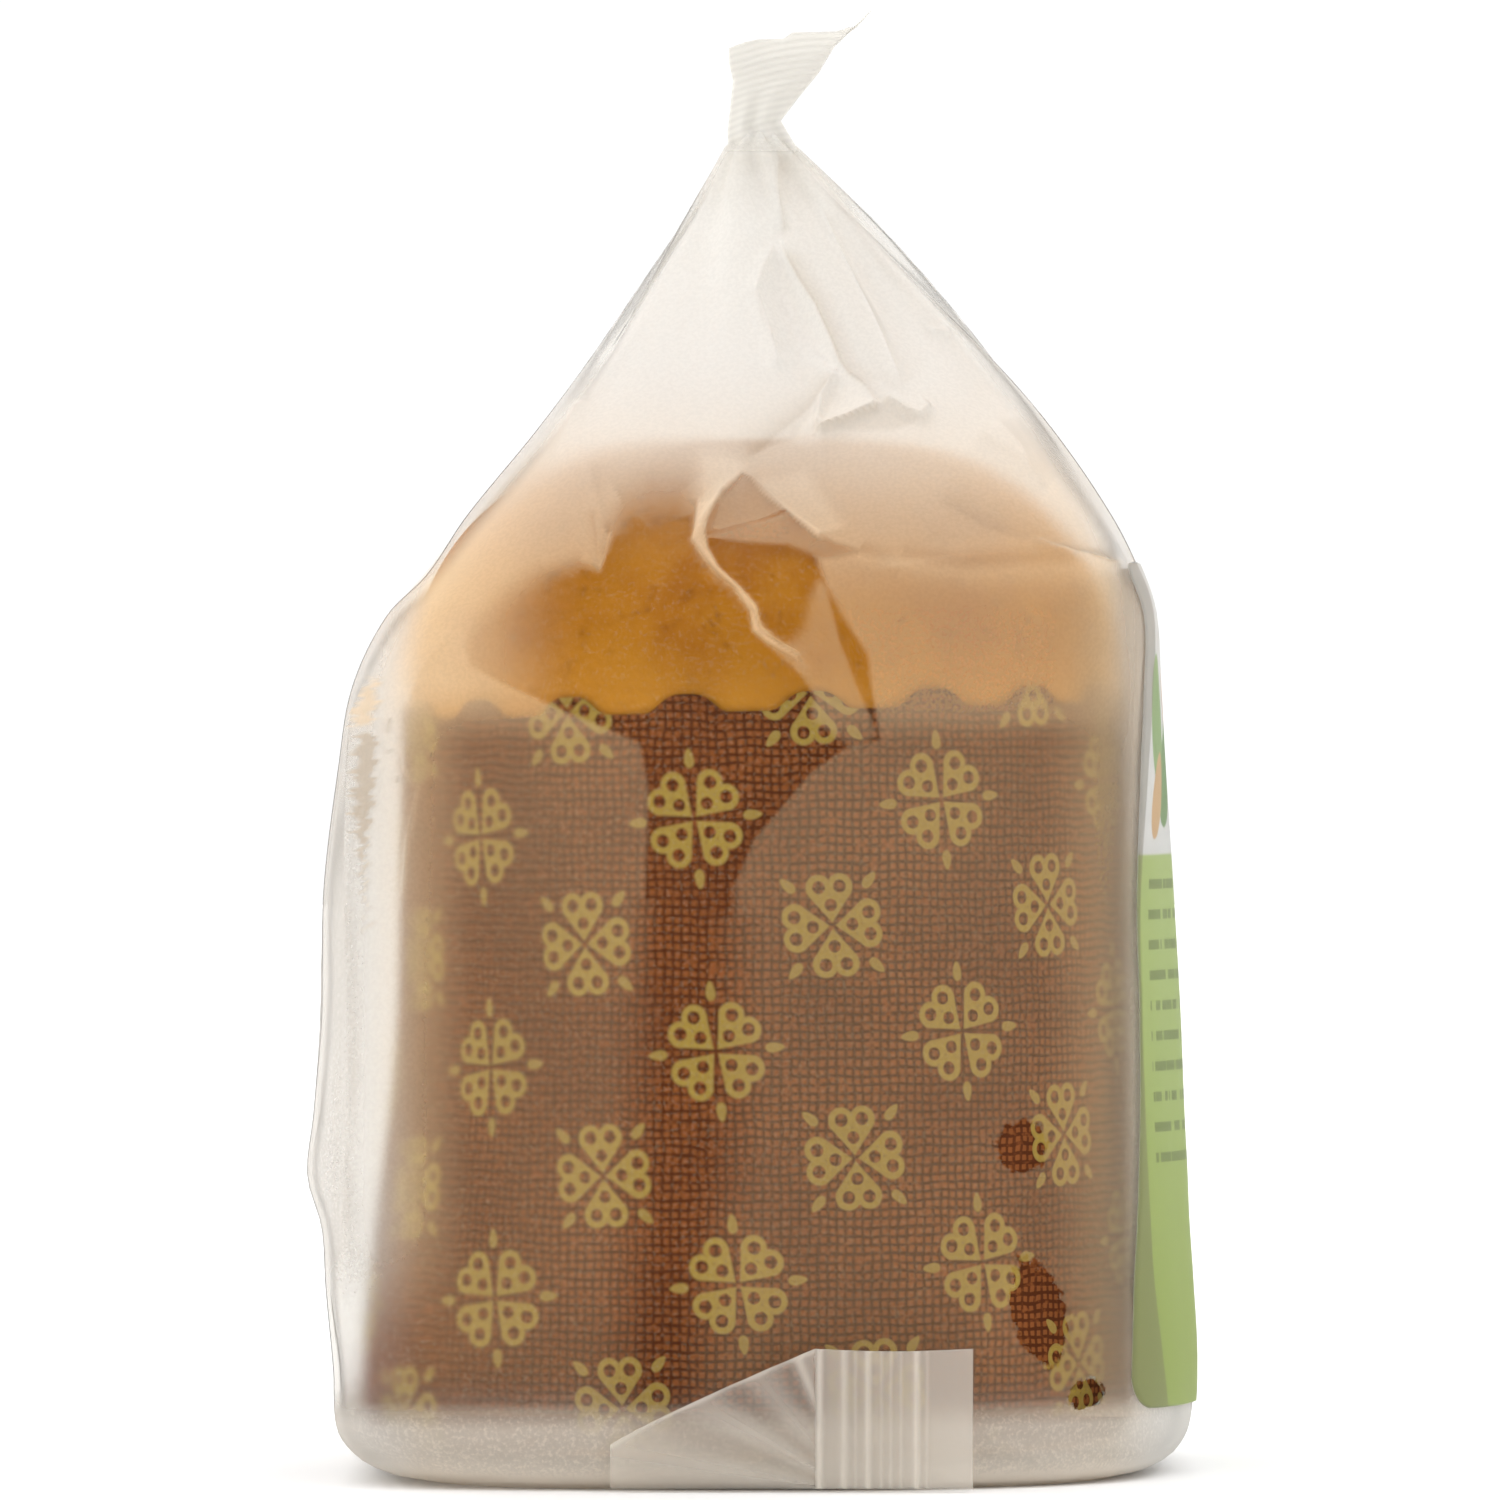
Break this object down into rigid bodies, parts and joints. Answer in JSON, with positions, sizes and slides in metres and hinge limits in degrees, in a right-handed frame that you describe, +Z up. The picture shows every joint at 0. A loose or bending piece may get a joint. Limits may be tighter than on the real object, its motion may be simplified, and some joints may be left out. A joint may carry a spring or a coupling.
{
  "type": "wrapped mini panettone",
  "caption": "Small dome-topped sweet bread in a printed paper case, sealed in a frosted film bag gathered under a crimped tail, with a side sticker.",
  "frame": {"origin": "centre of the base, on the surface that the pack stands on", "axes": "+Z up to the tail, +X towards the face with the label, +Y into the depth from the gusset face that shows the turned-up seal"},
  "size_m": [0.0886, 0.0792, 0.1457],
  "materials": {
    "frosted_film": "thin frosted polypropylene film, satin, see-through where it lies on the contents",
    "label_paper": "coated label stock, white above and yellow-green below, slight gloss",
    "case_paper": "brown baking paper printed with a linen weave and gold clover ornaments, matte",
    "cake_crust": "amber to brown baked crust, matte with small pores"
  },
  "bodies": {
    "root": {"bag": "frosted_film", "label": "label_paper"}
  },
  "joints": []
}
